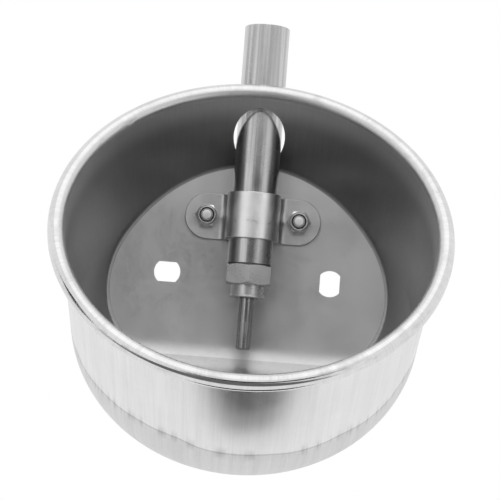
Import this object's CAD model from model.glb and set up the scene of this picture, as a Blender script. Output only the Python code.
"""Looks of a wall-mounted livestock drinking bowl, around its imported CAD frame.

Metres, +Z up the wall, +Y into it.
"""

from math import cos, pi, radians, sin, tau

import bpy
from bpy.props import FloatProperty, FloatVectorProperty, IntProperty, PointerProperty
from mathutils import Matrix, Vector


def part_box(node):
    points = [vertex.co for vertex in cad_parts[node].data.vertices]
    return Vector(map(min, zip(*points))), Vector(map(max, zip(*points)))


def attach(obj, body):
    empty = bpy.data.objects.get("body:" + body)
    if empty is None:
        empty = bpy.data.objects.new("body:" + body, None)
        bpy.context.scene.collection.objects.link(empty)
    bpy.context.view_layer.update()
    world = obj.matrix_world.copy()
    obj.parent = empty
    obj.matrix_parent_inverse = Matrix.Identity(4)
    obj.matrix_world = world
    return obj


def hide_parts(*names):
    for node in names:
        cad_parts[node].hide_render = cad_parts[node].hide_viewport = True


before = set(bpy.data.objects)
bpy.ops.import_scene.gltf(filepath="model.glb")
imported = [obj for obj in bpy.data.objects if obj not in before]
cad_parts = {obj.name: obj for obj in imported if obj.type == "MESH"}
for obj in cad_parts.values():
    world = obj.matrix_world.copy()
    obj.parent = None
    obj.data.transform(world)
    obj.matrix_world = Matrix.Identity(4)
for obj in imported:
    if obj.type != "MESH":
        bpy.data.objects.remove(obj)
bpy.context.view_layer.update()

bl_info = {
    "name": "Drinking Bowl Finish",
    "version": (1, 0, 0),
    "blender": (4, 5, 0),
    "location": "View3D > Sidebar > Drinking Bowl",
    "description": "Steel finishes, threads and studio for a wall-mounted livestock drinking bowl",
    "category": "Material",
}

MM = 0.001

# Places read from the frame's nodes
pipe_low, pipe_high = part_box("inlet_pipe")
strap_low, strap_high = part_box("pipe_clamp")
stud_low, stud_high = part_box("clamp_studs")
pipe_axis_y = (pipe_low.y + pipe_high.y) / 2
pipe_radius = (pipe_high.x - pipe_low.x) / 2
strap_centre_z = (strap_low.z + strap_high.z) / 2

# The bowl is a round pan whose axis leans out from the wall.
BACK_ANGLE = radians(37)
RIM_CENTRE = Vector((0, -84, 16)) * MM
RIM_OUT = Vector((0, -cos(BACK_ANGLE), sin(BACK_ANGLE)))
BEAD_R = 3.75 * MM
BEAD_CENTRE_R = 86.25 * MM
BOWL_MIDDLE = Vector((0, -50, -12)) * MM

# The bead's polish fades out between these shares of the bead's radius.
POLISH_AT = 1.03
POLISH_END = 1.13

# The plate is where the normal's share along Y is this high.
PLATE_FROM = 0.985
PLATE_AT = 0.998

# Heights along the bowl's axis, from its rim: the floor, and the lighter wall under the rim
FLOOR_FROM = -97 * MM
FLOOR_AT = -99 * MM
LIGHT_FROM = -16 * MM
LIGHT_AT = -2 * MM

# The line where the back plate turns into the bowl's floor, and how far the turn spreads
BEND_LINE = Vector((0, -1.5, -39.85)) * MM
BEND_REACH = 14 * MM
BEND_FALL = 3.0
BEND_NORMAL = (RIM_OUT + Vector((0, -1, 0))).normalized()

# Brushed lines have their set width at this radius, and change this fast along the wall.
GRAIN_RADIUS = 80 * MM
GRAIN_CLIMB = 9.0

# The draw crease: half its width, half its dark core, half the step below it, how far it wanders,
# and how far its smudges spread
CREASE_HALF = 0.9 * MM
CREASE_CORE = 0.1 * MM
CREASE_STEP = 0.6 * MM
CREASE_WANDER = 3 * MM
SMUDGE_REACH = 6 * MM

# Rubs on the bead change this fast round the rim and across the bead.
RUB_TURNS = 8.0
RUB_CLIMB = 500.0

# The clamp's crown ends and is full this many pipe radii behind its front.
CROWN_END = 0.5
CROWN_AT = 0.3

# The scuff across the clamp: how far under the middle, half its width, half its dark core, and how
# far it wanders
SCUFF_DROP = 3 * MM
SCUFF_HALF = 1.1 * MM
SCUFF_CORE = 0.3 * MM
SCUFF_WANDER = 0.6 * MM

# How wide a machined edge is worn round, how wide a turned ring is, and how fast rings change
EDGE_R = 0.35 * MM
RING_WIDTH = 0.15 * MM
RING_TURNS = 8.0

# The studs' threads, as a share of their pitch or in metres
THREAD_DEPTH = 0.6
RINGS_PER_TURN = 8
CREST_GAP = 0.02 * MM
STUD_CHAMFER = 0.7 * MM
STUD_DOME = 0.35 * MM
DOME_RINGS = 6

# Bump depths of drawing lines, satin, soft or pressed skins, and turned rings
LINE_DEPTH = 0.02 * MM
SATIN_DEPTH = 0.03 * MM
SKIN_DEPTH = 0.04 * MM
RING_DEPTH = 0.002 * MM

# A noise's values lie mostly within this reach of its middle.
NOISE_MIDDLE = 0.5
NOISE_REACH = 0.2
NARROW_REACH = 0.15

# The stage
FLOOR_RADIUS = 6.0
FADE_FROM = 0.14
FADE_TO = 0.26
WORLD_LIGHT = 0.8
WORLD_SEEN = 1.0
CAMERA_TARGET = Vector((-0.266, 0, 13.47)) * MM


# ---- Settings -----------------------------------------------------------------------------------


def grey_prop(name, description, value):
    """A colour setting, given as one grey value."""
    return FloatVectorProperty(
        name=name, description=description, subtype="COLOR", size=3, min=0, max=1, default=(value,) * 3
    )


class BowlSettings(bpy.types.PropertyGroup):
    outer_colour: grey_prop("Outside", "Brushed steel of the outer wall", 0.77)
    inner_colour: grey_prop("Inside", "Satin steel of the inner wall", 0.37)
    plate_colour: grey_prop("Back plate", "Satin steel of the flat back, inside", 0.66)
    bead_colour: grey_prop("Rim bead", "Polished steel of the rolled rim", 0.7)
    grain: FloatProperty(
        name="Grain width", description="Width of one brushed line round the wall",
        default=0.5 * MM, min=0.05 * MM, max=3 * MM, subtype="DISTANCE", unit="LENGTH",
    )
    crease_height: FloatProperty(
        name="Crease height",
        description="Height of the draw crease along the bowl's axis, from its rim",
        default=-56 * MM, min=-90 * MM, max=-10 * MM, subtype="DISTANCE", unit="LENGTH",
    )


class PipeSettings(bpy.types.PropertyGroup):
    pipe_colour: grey_prop("Pipe", "Drawn steel of the inlet pipe", 0.56)
    strap_colour: grey_prop("Clamp", "Satin steel of the saddle clamp", 0.62)
    grain: FloatProperty(
        name="Grain width", description="Width of one drawing line on the pipe",
        default=0.35 * MM, min=0.05 * MM, max=2 * MM, subtype="DISTANCE", unit="LENGTH",
    )


class ValveSettings(bpy.types.PropertyGroup):
    steel_colour: grey_prop("Valve", "Turned steel of the valve", 0.66)
    pin_colour: grey_prop("Pin", "Drawn steel of the pin", 0.42)
    washer_colour: grey_prop("Washer", "Fibre of the sealing washer", 0.12)
    seal_colour: grey_prop("Seal", "Rubber of the valve seat", 0.025)
    strainer_colour: grey_prop("Strainer", "Moulded plastic inside the valve", 0.08)


class FastenerSettings(bpy.types.PropertyGroup):
    steel_colour: grey_prop("Nuts and studs", "Bright steel of the fasteners", 0.85)
    nylon_colour: grey_prop("Nylon", "Locking ring in each nut", 0.02)
    pitch: FloatProperty(
        name="Thread pitch", description="Distance from one thread crest to the next",
        default=1.0 * MM, min=0.5 * MM, max=1.5 * MM, subtype="DISTANCE", unit="LENGTH",
    )
    thread_steps: IntProperty(
        name="Thread steps", description="Mesh faces round one turn of thread",
        default=48, min=16, max=96,
    )


class StageSettings(bpy.types.PropertyGroup):
    floor_colour: grey_prop("Floor", "Pale floor", 0.9)
    floor_height: FloatProperty(
        name="Floor height", description="Height of the floor below the wall holes",
        default=-0.125, max=-0.1, subtype="DISTANCE", unit="LENGTH",
    )
    lens: FloatProperty(
        name="Lens", description="Focal length", default=158.15, min=20, subtype="DISTANCE_CAMERA"
    )
    distance: FloatProperty(
        name="Camera distance", description="From the camera to the point it looks at",
        default=1.0535, min=0.3, subtype="DISTANCE", unit="LENGTH",
    )
    azimuth: FloatProperty(
        name="Azimuth", description="Camera's turn round the bowl",
        default=radians(0.154), subtype="ANGLE",
    )
    elevation: FloatProperty(
        name="Elevation", description="Camera's height angle",
        default=radians(-4.651), subtype="ANGLE",
    )
    roll: FloatProperty(
        name="Roll", description="Camera's tilt", default=radians(4.45), subtype="ANGLE"
    )


# ---- Node helper --------------------------------------------------------------------------------


class Shading:
    """Short calls that add and link the nodes of one material."""

    def __init__(self, name):
        self.material = bpy.data.materials.new(name)
        self.material.use_nodes = True
        self.tree = self.material.node_tree
        self.shader = self.tree.nodes["Principled BSDF"]
        place = self.add("ShaderNodeTexCoord")
        self.point = place.outputs["Object"]
        self.normal = place.outputs["Normal"]

    def add(self, kind, **settings):
        node = self.tree.nodes.new(kind)
        for key, value in settings.items():
            setattr(node, key, value)
        return node

    def join(self, value, socket):
        """Links an output to a socket, or sets the socket to a plain value."""
        if isinstance(value, bpy.types.NodeSocket):
            self.tree.links.new(value, socket)
        else:
            socket.default_value = value

    def math(self, operation, a, b=0.0):
        node = self.add("ShaderNodeMath", operation=operation)
        for value, socket in zip((a, b), node.inputs):
            self.join(value, socket)
        return node.outputs[0]

    def sum(self, first, *others):
        """Adds any number of values."""
        for value in others:
            first = self.math("ADD", first, value)
        return first

    def product(self, first, *others):
        """Multiplies any number of values."""
        for value in others:
            first = self.math("MULTIPLY", first, value)
        return first

    def opposite(self, mask):
        """The mask of every place where this one isn't."""
        return self.math("SUBTRACT", 1.0, mask)

    def vector(self, operation, a, b=(0, 0, 0), scale=1.0):
        node = self.add("ShaderNodeVectorMath", operation=operation)
        self.join(a, node.inputs[0])
        self.join(b, node.inputs[1])
        self.join(scale, node.inputs[3])
        return node.outputs["Value" if operation in ("DOT_PRODUCT", "LENGTH") else "Vector"]

    def combine(self, x, y, z):
        node = self.add("ShaderNodeCombineXYZ")
        for value, socket in zip((x, y, z), node.inputs):
            self.join(value, socket)
        return node.outputs[0]

    def split(self, value):
        node = self.add("ShaderNodeSeparateXYZ")
        self.join(value, node.inputs[0])
        return node.outputs

    def noise(self, vector, scale=1.0, detail=2.0, roughness=0.5):
        node = self.add("ShaderNodeTexNoise")
        self.join(vector, node.inputs["Vector"])
        node.inputs["Scale"].default_value = scale
        node.inputs["Detail"].default_value = detail
        node.inputs["Roughness"].default_value = roughness
        return node.outputs["Fac"]

    def ramp(self, value, low, high, to_low=0.0, to_high=1.0):
        """Maps low..high smoothly to to_low..to_high."""
        node = self.add("ShaderNodeMapRange", interpolation_type="SMOOTHSTEP")
        for item, socket in zip((value, low, high, to_low, to_high), node.inputs):
            self.join(item, socket)
        return node.outputs[0]

    def vary(self, noise, low, high, reach=NOISE_REACH):
        """Spreads a noise's usual range over low..high."""
        return self.ramp(noise, NOISE_MIDDLE - reach, NOISE_MIDDLE + reach, low, high)

    def mix(self, factor, a, b):
        """Blends two numbers."""
        node = self.add("ShaderNodeMix", data_type="FLOAT")
        for value, socket in zip((factor, a, b), node.inputs[0:1] + node.inputs[2:4]):
            self.join(value, socket)
        return node.outputs[0]

    def blend(self, factor, a, b, how="MIX"):
        """Blends two colours, given as outputs or as three values."""
        node = self.add("ShaderNodeMix", data_type="RGBA", blend_type=how)
        self.join(factor, node.inputs[0])
        for value, socket in ((a, node.inputs[6]), (b, node.inputs[7])):
            self.join(value if isinstance(value, bpy.types.NodeSocket) else (*value, 1), socket)
        return node.outputs[2]

    def grey(self, value):
        """A number as a grey colour."""
        return self.combine(value, value, value)

    def tint(self, colour, tone):
        """Makes a colour lighter or darker by a share of itself."""
        return self.blend(1.0, colour, self.grey(self.sum(tone, 1.0)), "MULTIPLY")

    def bump(self, height, distance, strength, normal=None):
        node = self.add("ShaderNodeBump")
        self.join(height, node.inputs["Height"])
        if normal is not None:
            self.join(normal, node.inputs["Normal"])
        node.inputs["Distance"].default_value = distance
        node.inputs["Strength"].default_value = strength
        return node.outputs[0]

    def finish(self, colour, roughness, normal=None, tangent=None, **sockets):
        self.join(colour, self.shader.inputs["Base Color"])
        self.join(roughness, self.shader.inputs["Roughness"])
        if normal is not None:
            self.join(normal, self.shader.inputs["Normal"])
        if tangent is not None:
            self.join(tangent, self.shader.inputs["Tangent"])
        for key, value in sockets.items():
            self.shader.inputs[key.replace("_", " ")].default_value = value
        return self.material


def give(node, material):
    """Puts a material on a CAD node, which keeps its shape."""
    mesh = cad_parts[node].data
    mesh.materials.clear()
    mesh.materials.append(material)


def new_object(name, data):
    """An object in the scene that holds this mesh, lamp or camera."""
    thing = bpy.data.objects.new(name, data)
    bpy.context.scene.collection.objects.link(thing)
    return thing


# ---- Materials ----------------------------------------------------------------------------------


class BowlShading(Shading):
    """Nodes of the bowl's steel, which know each point's place on the round pan."""

    def __init__(self, name):
        super().__init__(name)
        from_centre = self.vector("SUBTRACT", self.point, RIM_CENTRE)
        self.height = self.vector("DOT_PRODUCT", from_centre, RIM_OUT)
        radial = self.vector("SUBTRACT", from_centre, self.vector("SCALE", RIM_OUT, scale=self.height))
        self.radius = self.vector("LENGTH", radial)
        self.around = self.vector("NORMALIZE", radial)

        from_middle = self.vector("SUBTRACT", self.point, BOWL_MIDDLE)
        outward = self.vector("DOT_PRODUCT", self.normal, from_middle)
        self.outside = self.math("GREATER_THAN", outward, 0.0)
        off_bead = self.combine(self.math("SUBTRACT", self.radius, BEAD_CENTRE_R), self.height, 0.0)
        from_bead = self.vector("LENGTH", off_bead)
        self.bead = self.ramp(from_bead, POLISH_END * BEAD_R, POLISH_AT * BEAD_R)
        plate = self.ramp(self.math("ABSOLUTE", self.split(self.normal)[1]), PLATE_FROM, PLATE_AT)
        floor = self.ramp(self.height, FLOOR_FROM, FLOOR_AT, to_high=0.6)
        self.flat = self.math("MAXIMUM", plate, floor)
        self.wall = self.product(self.outside, self.opposite(self.flat))

    def grain_point(self, width):
        """A point for noises that make lines up the wall: fast round it, slow along it."""
        turns = GRAIN_RADIUS / width / tau
        climb = self.vector("SCALE", RIM_OUT, scale=self.product(self.height, GRAIN_CLIMB))
        return self.vector("ADD", self.vector("SCALE", self.around, scale=turns), climb)

    def crease(self, crease_height, grain_point):
        """Masks of the crease that the last draw leaves, of the wall below it and of its smudges."""
        wander = self.noise(self.vector("SCALE", self.around, scale=1.4))
        sway = self.vary(wander, -CREASE_WANDER, CREASE_WANDER)
        off = self.math("SUBTRACT", self.math("SUBTRACT", self.height, crease_height), sway)
        distance = self.math("ABSOLUTE", off)
        line = self.ramp(distance, CREASE_HALF, CREASE_CORE)
        below = self.ramp(off, CREASE_STEP, -CREASE_STEP)
        drag = self.vector("MULTIPLY", grain_point, (0.12, 0.12, 1.0))
        patches = self.ramp(self.noise(drag, scale=3.0, detail=3.0, roughness=0.6), 0.45, 0.65)
        smudge = self.product(self.ramp(distance, SMUDGE_REACH, 0.0), patches)
        return [self.product(mask, self.wall) for mask in (line, below, smudge)]

    def rubs(self):
        """Mask of the rubs along the bead, where animals and chains touch it."""
        across = self.vector("SCALE", RIM_OUT, scale=self.product(self.height, RUB_CLIMB))
        streak_point = self.vector("ADD", self.vector("SCALE", self.around, scale=RUB_TURNS), across)
        streaks = self.noise(streak_point, detail=4.0, roughness=0.65)
        return self.product(self.ramp(streaks, 0.5, 0.7), self.bead)

    def soft_bend(self):
        """Normal that turns from the plate into the floor in one soft bend, inside only."""
        off_line = self.vector("MULTIPLY", self.vector("SUBTRACT", self.point, BEND_LINE), (0, 1, 1))
        near = self.ramp(self.vector("LENGTH", off_line), BEND_REACH, 0.0)
        soft = self.product(self.math("POWER", near, BEND_FALL), self.opposite(self.outside))
        turn = self.vector("SUBTRACT", BEND_NORMAL, self.normal)
        turned = self.vector("ADD", self.normal, self.vector("SCALE", turn, scale=soft))
        return self.vector("NORMALIZE", turned)


def drawn_steel(settings):
    """Sheet steel of the bowl: fine lines up the wall, a satin inside and a polished rim."""
    s = BowlShading("drawn_steel")
    grain_point = s.grain_point(settings.grain)
    fine = s.noise(grain_point, scale=4.0, detail=4.0, roughness=0.6)
    broad = s.noise(grain_point, scale=0.9, detail=3.0, roughness=0.55)
    cloud = s.noise(s.point, scale=28.0, detail=4.0, roughness=0.55)
    speck = s.noise(s.point, scale=900.0, roughness=0.6)
    satin = s.noise(s.vector("MULTIPLY", s.point, (900.0, 900.0, 260.0)), detail=3.0, roughness=0.6)
    line, below, smudge = s.crease(settings.crease_height, grain_point)
    rubs = s.rubs()

    inner = s.blend(s.flat, settings.inner_colour, settings.plate_colour)
    near_rim = s.ramp(s.height, LIGHT_FROM, LIGHT_AT, to_high=0.8)
    inner = s.blend(near_rim, inner, settings.bead_colour)
    skin = s.blend(s.outside, inner, settings.outer_colour)
    colour = s.blend(s.bead, skin, settings.bead_colour)
    tone = s.sum(
        s.product(s.opposite(s.flat), s.vary(fine, -0.025, 0.025)),
        s.product(s.wall, s.vary(broad, -0.03, 0.02, NARROW_REACH)),
        s.vary(cloud, -0.05, 0.03),
        s.product(line, -0.2), s.product(below, -0.12), s.product(smudge, -0.2),
    )
    colour = s.blend(s.product(rubs, 0.2), s.tint(colour, tone), (0.25, 0.25, 0.25))

    inside_rough = s.mix(s.flat, 0.4, 0.36)
    skin_rough = s.mix(s.outside, inside_rough, 0.36)
    # The polish stops where the bead rolls over into the bowl.
    roll_over = BEAD_CENTRE_R - 0.7 * BEAD_R
    bead_rough = s.ramp(s.radius, BEAD_CENTRE_R, roll_over, to_low=0.15, to_high=0.42)
    rough = s.sum(
        s.mix(s.bead, skin_rough, bead_rough),
        s.vary(cloud, -0.05, 0.05),
        s.vary(speck, -0.03, 0.03, NARROW_REACH),
        s.product(s.sum(below, rubs), 0.1),
    )

    grit = s.mix(s.flat, s.product(fine, s.opposite(s.bead)), satin)
    bump = s.bump(s.sum(grit, s.product(speck, 0.1)), SATIN_DEPTH, 0.5, s.soft_bend())
    round_wall = s.vector("CROSS_PRODUCT", RIM_OUT, s.around)
    return s.finish(colour, rough, bump, round_wall, Metallic=1.0, Anisotropic=0.5)


def along_pipe(s, width, stretch=60.0):
    """A point for noises that make long lines along the pipe, fast round it."""
    x, y, z = s.split(s.vector("SUBTRACT", s.point, (0, pipe_axis_y, 0)))
    return s.combine(
        s.math("DIVIDE", x, width), s.math("DIVIDE", y, width), s.math("DIVIDE", z, width * stretch)
    )


def drawn_rod(name, colour):
    """Drawn rod with fine lines along its length."""
    s = Shading(name)
    fine = s.noise(along_pipe(s, 0.5 * MM), detail=3.0, roughness=0.6)
    cloud = s.noise(s.point, scale=150.0, detail=3.0)
    shade = s.tint(colour, s.sum(s.vary(fine, -0.35, 0.25), s.vary(cloud, -0.05, 0.05)))
    rough = s.sum(0.24, s.vary(cloud, -0.03, 0.05))
    return s.finish(shade, rough, s.bump(fine, LINE_DEPTH, 0.5), Metallic=1.0)


def pipe_steel(settings):
    """Drawn tube with lines along its length."""
    s = Shading("pipe_steel")
    lines = along_pipe(s, settings.grain)
    fine = s.noise(lines, detail=3.0, roughness=0.6)
    broad = s.noise(lines, scale=0.16)
    cloud = s.noise(s.point, scale=60.0, detail=4.0, roughness=0.55)
    colour = s.tint(settings.pipe_colour, s.sum(s.vary(fine, -0.05, 0.05), s.vary(broad, -0.26, 0.12)))
    rough = s.sum(0.24, s.vary(cloud, -0.04, 0.06))
    return s.finish(colour, rough, s.bump(fine, LINE_DEPTH, 0.6), Metallic=1.0, Anisotropic=0.3)


def strap_steel(settings):
    """Pressed strip with a satin face, and a broken scuff across its crown."""
    s = Shading("strap_steel")
    y, z = s.split(s.point)[1:3]
    cloud = s.noise(s.vector("MULTIPLY", s.point, (150.0, 150.0, 110.0)), detail=5.0, roughness=0.6)
    fine = s.noise(s.vector("MULTIPLY", s.point, (60, 60, 1500)), detail=3.0)
    patches = s.ramp(s.noise(s.point, scale=230.0), 0.42, 0.6)

    behind_front = s.math("SUBTRACT", y, strap_low.y)
    crown = s.ramp(behind_front, CROWN_END * pipe_radius, CROWN_AT * pipe_radius)
    wander = s.vary(cloud, -SCUFF_WANDER, SCUFF_WANDER)
    off_scuff = s.math("SUBTRACT", z, s.sum(strap_centre_z - SCUFF_DROP, wander))
    scuff = s.ramp(s.math("ABSOLUTE", off_scuff), SCUFF_HALF, SCUFF_CORE)
    scuff = s.product(scuff, patches, crown)

    tone = s.sum(
        s.vary(cloud, -0.07, 0.06), s.vary(fine, -0.02, 0.02),
        s.product(crown, 0.45), s.product(scuff, -0.4),
    )
    rough = s.sum(0.38, s.vary(cloud, -0.04, 0.06))
    bump = s.bump(s.sum(cloud, s.product(fine, 0.1)), SKIN_DEPTH, 0.5)
    return s.finish(s.tint(settings.strap_colour, tone), rough, bump, Metallic=1.0)


def turned_steel(name, colour, roughness, metallic=1.0):
    """Steel off a lathe: fine rings along the height, small rubs and edges worn round."""
    s = Shading(name)
    x, y, z = s.split(s.point)
    rings = s.noise(s.combine(
        s.product(x, RING_TURNS), s.product(y, RING_TURNS), s.math("DIVIDE", z, RING_WIDTH)
    ))
    cloud = s.noise(s.point, scale=120.0, detail=3.0)
    shade = s.tint(colour, s.sum(s.vary(rings, -0.02, 0.02), s.vary(cloud, -0.05, 0.04)))
    rough = s.sum(roughness, s.vary(cloud, -0.03, 0.04))
    edges = s.add("ShaderNodeBevel", samples=4)
    edges.inputs["Radius"].default_value = EDGE_R
    bump = s.bump(rings, RING_DEPTH, 0.4, edges.outputs[0])
    return s.finish(shade, rough, bump, Metallic=metallic)


def soft_material(name, colour, roughness, scale):
    """Rubber, fibre or plastic with a fine uneven skin."""
    s = Shading(name)
    skin = s.noise(s.point, scale, detail=4.0, roughness=0.6)
    shade = s.tint(colour, s.vary(skin, -0.2, 0.2))
    rough = s.sum(roughness, s.vary(skin, -0.08, 0.08))
    return s.finish(shade, rough, s.bump(skin, SKIN_DEPTH, 0.6), Specular_IOR_Level=0.4)


# ---- Operators ----------------------------------------------------------------------------------


class DRINKER_OT_bowl(bpy.types.Operator):
    """Finish the drawn steel bowl"""

    bl_idname = "drinker.bowl"
    bl_label = "Bowl"

    def execute(self, context):
        give("bowl_shell", drawn_steel(context.scene.drinker_bowl))
        return {"FINISHED"}


class DRINKER_OT_pipe(bpy.types.Operator):
    """Finish the inlet pipe and its saddle clamp"""

    bl_idname = "drinker.pipe"
    bl_label = "Pipe and clamp"

    def execute(self, context):
        settings = context.scene.drinker_pipe
        give("inlet_pipe", pipe_steel(settings))
        give("pipe_clamp", strap_steel(settings))
        return {"FINISHED"}


class DRINKER_OT_valve(bpy.types.Operator):
    """Finish the nipple valve, its pin and its inner pieces"""

    bl_idname = "drinker.valve"
    bl_label = "Valve"

    def execute(self, context):
        settings = context.scene.drinker_valve
        give("valve_body", turned_steel("turned_steel", settings.steel_colour, 0.28, metallic=0.75))
        pin = drawn_rod("pin_steel", settings.pin_colour)
        for node in ("valve_stem", "spring_follower"):
            give(node, pin)
        wire = turned_steel("spring_steel", settings.steel_colour, 0.3)
        for node in ("valve_spring", "strainer_screen"):
            give(node, wire)
        plastic = soft_material("strainer_plastic", settings.strainer_colour, 0.5, 900.0)
        for node in ("spring_retainer", "strainer_frame"):
            give(node, plastic)
        give("pipe_washer", soft_material("fibre_washer", settings.washer_colour, 0.7, 1500.0))
        give("seat_seal", soft_material("seal_rubber", settings.seal_colour, 0.6, 1200.0))
        return {"FINISHED"}


class DRINKER_OT_fasteners(bpy.types.Operator):
    """Finish the lock nuts and cut the studs' threads"""

    bl_idname = "drinker.fasteners"
    bl_label = "Nuts and studs"

    def execute(self, context):
        settings = context.scene.drinker_fasteners
        bright = turned_steel("bright_steel", settings.steel_colour, 0.22)
        give("lock_nuts", bright)
        give("nut_inserts", soft_material("nylon", settings.nylon_colour, 0.4, 1200.0))
        studs = threaded_studs(settings)
        studs.data.materials.append(turned_steel("stud_steel", settings.steel_colour, 0.45, metallic=0.7))
        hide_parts("clamp_studs")
        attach(studs, "bowl")
        return {"FINISHED"}


def stud_rings(settings, length, radius):
    """Rings of one stud as its distance out from the bowl and its radius at each step round it."""
    body = length - STUD_DOME
    steps = settings.thread_steps
    count = round(body / settings.pitch * RINGS_PER_TURN)
    depth = THREAD_DEPTH * settings.pitch
    crest = radius - CREST_GAP
    for ring in range(count + 1):
        out = body * ring / count
        limit = crest - max(0.0, STUD_CHAMFER - (body - out))
        phases = [(out / settings.pitch - step / steps) % 1.0 for step in range(steps)]
        yield out, [min(limit, crest - depth * (1 - abs(2 * phase - 1))) for phase in phases]
    tip = crest - depth
    for ring in range(1, DOME_RINGS + 1):
        turn = pi / 2 * ring / (DOME_RINGS + 1)
        yield body + STUD_DOME * sin(turn), [tip * cos(turn)] * steps


def threaded_studs(settings):
    """Both studs as one mesh, each with its thread, its chamfer and a slightly domed end."""
    radius = (stud_high.z - stud_low.z) / 2
    centre_x = (stud_high.x - stud_low.x) / 2 - radius
    centre_z = (stud_high.z + stud_low.z) / 2
    steps = settings.thread_steps
    points, faces = [], []
    for side in (-1, 1):
        rows = list(stud_rings(settings, stud_high.y - stud_low.y, radius))
        first = len(points)
        for out, radii in rows:
            for step, r in enumerate(radii):
                a = tau * step / steps
                x = side * centre_x + r * cos(a)
                points.append((x, stud_high.y - out, centre_z + r * sin(a)))
        for row in range(len(rows) - 1):
            for step in range(steps):
                a = first + row * steps + step
                b = first + row * steps + (step + 1) % steps
                faces.append((a, a + steps, b + steps, b))
        last = first + (len(rows) - 1) * steps
        faces.append([first + step for step in range(steps)])
        faces.append([last + step for step in reversed(range(steps))])
    mesh = bpy.data.meshes.new("threaded_studs")
    mesh.from_pydata(points, [], faces)
    mesh.polygons.foreach_set("use_smooth", [len(face.vertices) == 4 for face in mesh.polygons])
    return new_object("threaded_studs", mesh)


class DRINKER_OT_stage(bpy.types.Operator):
    """Set the floor, the lights, the world and the camera"""

    bl_idname = "drinker.stage"
    bl_label = "Stage"

    def execute(self, context):
        settings = context.scene.drinker_stage
        stage_floor(settings)
        stage_world()
        stage_lights()
        stage_camera(settings)
        context.scene.view_settings.view_transform = "Standard"
        return {"FINISHED"}


def disc(name, radius, steps=96):
    """A flat round face at the origin."""
    mesh = bpy.data.meshes.new(name)
    turns = [tau * step / steps for step in range(steps)]
    mesh.from_pydata([(radius * cos(a), radius * sin(a), 0) for a in turns], [], [list(range(steps))])
    return new_object(name, mesh)


def stage_floor(settings):
    """A pale floor that fades into the white backdrop and keeps the bowl's shadow."""
    floor = disc("floor", FLOOR_RADIUS)
    floor.location.z = settings.floor_height
    s = Shading("floor_paint")
    grain = s.noise(s.point, scale=40.0, detail=4.0)
    colour = s.tint(settings.floor_colour, s.vary(grain, -0.03, 0.0))
    s.finish(colour, roughness=0.8, Specular_IOR_Level=0.1)
    white = s.add("ShaderNodeEmission")
    white.inputs["Strength"].default_value = 1.0
    fade = s.ramp(s.vector("LENGTH", s.point), FADE_FROM, FADE_TO)
    rays = s.add("ShaderNodeLightPath")
    seen = s.math("MAXIMUM", rays.outputs["Is Camera Ray"], rays.outputs["Is Transmission Ray"])
    mixer = s.add("ShaderNodeMixShader")
    white_part = s.math("MAXIMUM", s.product(fade, seen), rays.outputs["Is Glossy Ray"])
    s.join(white_part, mixer.inputs[0])
    s.join(s.shader.outputs[0], mixer.inputs[1])
    s.join(white.outputs[0], mixer.inputs[2])
    s.join(mixer.outputs[0], s.tree.nodes["Material Output"].inputs["Surface"])
    floor.data.materials.append(s.material)


def stage_world():
    """White where it is seen, directly or in the steel, and a softer white as light."""
    world = bpy.data.worlds.new("studio_world")
    bpy.context.scene.world = world
    world.use_nodes = True
    tree = world.node_tree
    background = tree.nodes["Background"]
    background.inputs["Color"].default_value = (1, 1, 1, 1)
    rays = tree.nodes.new("ShaderNodeLightPath")
    seen = rays.outputs["Is Camera Ray"]
    for name in ("Is Glossy Ray", "Is Transmission Ray"):
        larger = tree.nodes.new("ShaderNodeMath")
        larger.operation = "MAXIMUM"
        tree.links.new(seen, larger.inputs[0])
        tree.links.new(rays.outputs[name], larger.inputs[1])
        seen = larger.outputs[0]
    level = tree.nodes.new("ShaderNodeMapRange")
    level.inputs["To Min"].default_value = WORLD_LIGHT
    level.inputs["To Max"].default_value = WORLD_SEEN
    tree.links.new(seen, level.inputs["Value"])
    tree.links.new(level.outputs[0], background.inputs["Strength"])


def area_light(name, place, target, size, power):
    """A square soft light that faces a target."""
    data = bpy.data.lights.new(name, "AREA")
    data.size = size
    data.energy = power
    lamp = new_object(name, data)
    lamp.location = place
    lamp.rotation_mode = "QUATERNION"
    lamp.rotation_quaternion = (Vector(target) - Vector(place)).to_track_quat("-Z", "Y")


def flag(name, place, low_width, high_width, height, shade, tilt=0.0, turn=0.0):
    """A dark card that only the steel reflects, with its widths at its two ends."""
    mesh = bpy.data.meshes.new(name)
    low, high, half = low_width / 2, high_width / 2, height / 2
    corners = [(-low, 0, -half), (low, 0, -half), (high, 0, half), (-high, 0, half)]
    mesh.from_pydata(corners, [], [(0, 1, 2, 3)])
    card = new_object(name, mesh)
    card.location = place
    card.rotation_euler = (tilt, 0, turn)
    card.visible_camera = False
    card.visible_shadow = False
    card.visible_diffuse = False
    s = Shading(name + "_cloth")
    weave = s.noise(s.point, scale=300.0, detail=3.0)
    s.finish(s.grey(s.vary(weave, 0.9 * shade, 1.1 * shade)), roughness=0.9, Specular_IOR_Level=0.0)
    mesh.materials.append(s.material)


def stage_lights():
    """A soft lamp above, and dark cards in front, at the side and just over the floor."""
    flat = -pi / 2
    flag("front_flag", (0.27, -1.8, 0.105), 1.75, 1.75, height=0.46, shade=0.05)
    flag("side_flag", (-0.72, -0.24, 0.08), 0.22, 0.22, height=0.3, shade=0.05, turn=radians(-72))
    flag("floor_flag", (-0.13, -0.9, -0.12), 0.55, 0.55, height=1.4, shade=0.2, tilt=flat)
    flag("low_flag", (0.011, -0.103, -0.119), 0.12, 0.04, height=0.038, shade=0.0, tilt=flat)
    area_light("top_light", place=(0, -0.7, 1.1), target=(0, -0.07, -0.05), size=1.3, power=1.8)


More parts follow.
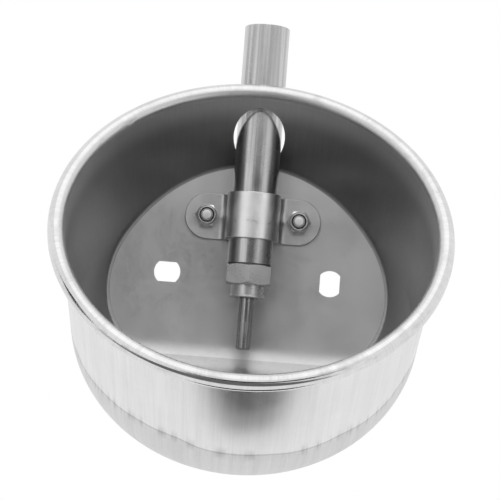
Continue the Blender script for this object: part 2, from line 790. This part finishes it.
def stage_camera(settings):
    """The camera looks at a point on the bowl from a distance, tilted by its roll."""
    a, e, r = settings.azimuth, settings.elevation, settings.roll
    back = Vector((sin(a) * cos(e), -cos(a) * cos(e), sin(e)))
    right = Vector((cos(a), sin(a), 0))
    up = back.cross(right)
    axes = Matrix((cos(r) * right + sin(r) * up, cos(r) * up - sin(r) * right, back)).transposed()
    data = bpy.data.cameras.new("camera")
    data.lens = settings.lens
    data.clip_start = 0.05
    data.clip_end = 50
    camera = new_object("camera", data)
    place = CAMERA_TARGET + settings.distance * back
    camera.matrix_world = Matrix.Translation(place) @ axes.to_4x4()
    bpy.context.scene.camera = camera


# ---- Panel and registration ---------------------------------------------------------------------

GROUPS = (
    ("drinker_bowl", BowlSettings, DRINKER_OT_bowl),
    ("drinker_pipe", PipeSettings, DRINKER_OT_pipe),
    ("drinker_valve", ValveSettings, DRINKER_OT_valve),
    ("drinker_fasteners", FastenerSettings, DRINKER_OT_fasteners),
    ("drinker_stage", StageSettings, DRINKER_OT_stage),
)


class DRINKER_PT_panel(bpy.types.Panel):
    """Lists the bowl's pieces and their settings"""

    bl_idname = "DRINKER_PT_panel"
    bl_label = "Drinking Bowl"
    bl_space_type = "VIEW_3D"
    bl_region_type = "UI"
    bl_category = "Drinking Bowl"

    def draw(self, context):
        for key, settings, operator in GROUPS:
            box = self.layout.box()
            for name in settings.__annotations__:
                box.prop(getattr(context.scene, key), name)
            box.operator(operator.bl_idname)


def register():
    for key, settings, operator in GROUPS:
        bpy.utils.register_class(settings)
        bpy.utils.register_class(operator)
        setattr(bpy.types.Scene, key, PointerProperty(type=settings))
    bpy.utils.register_class(DRINKER_PT_panel)


def unregister():
    bpy.utils.unregister_class(DRINKER_PT_panel)
    for key, settings, operator in reversed(GROUPS):
        delattr(bpy.types.Scene, key)
        bpy.utils.unregister_class(operator)
        bpy.utils.unregister_class(settings)


def main():
    register()
    bpy.ops.drinker.bowl()
    bpy.ops.drinker.pipe()
    bpy.ops.drinker.valve()
    bpy.ops.drinker.fasteners()
    bpy.ops.drinker.stage()


if __name__ == "__main__":
    main()
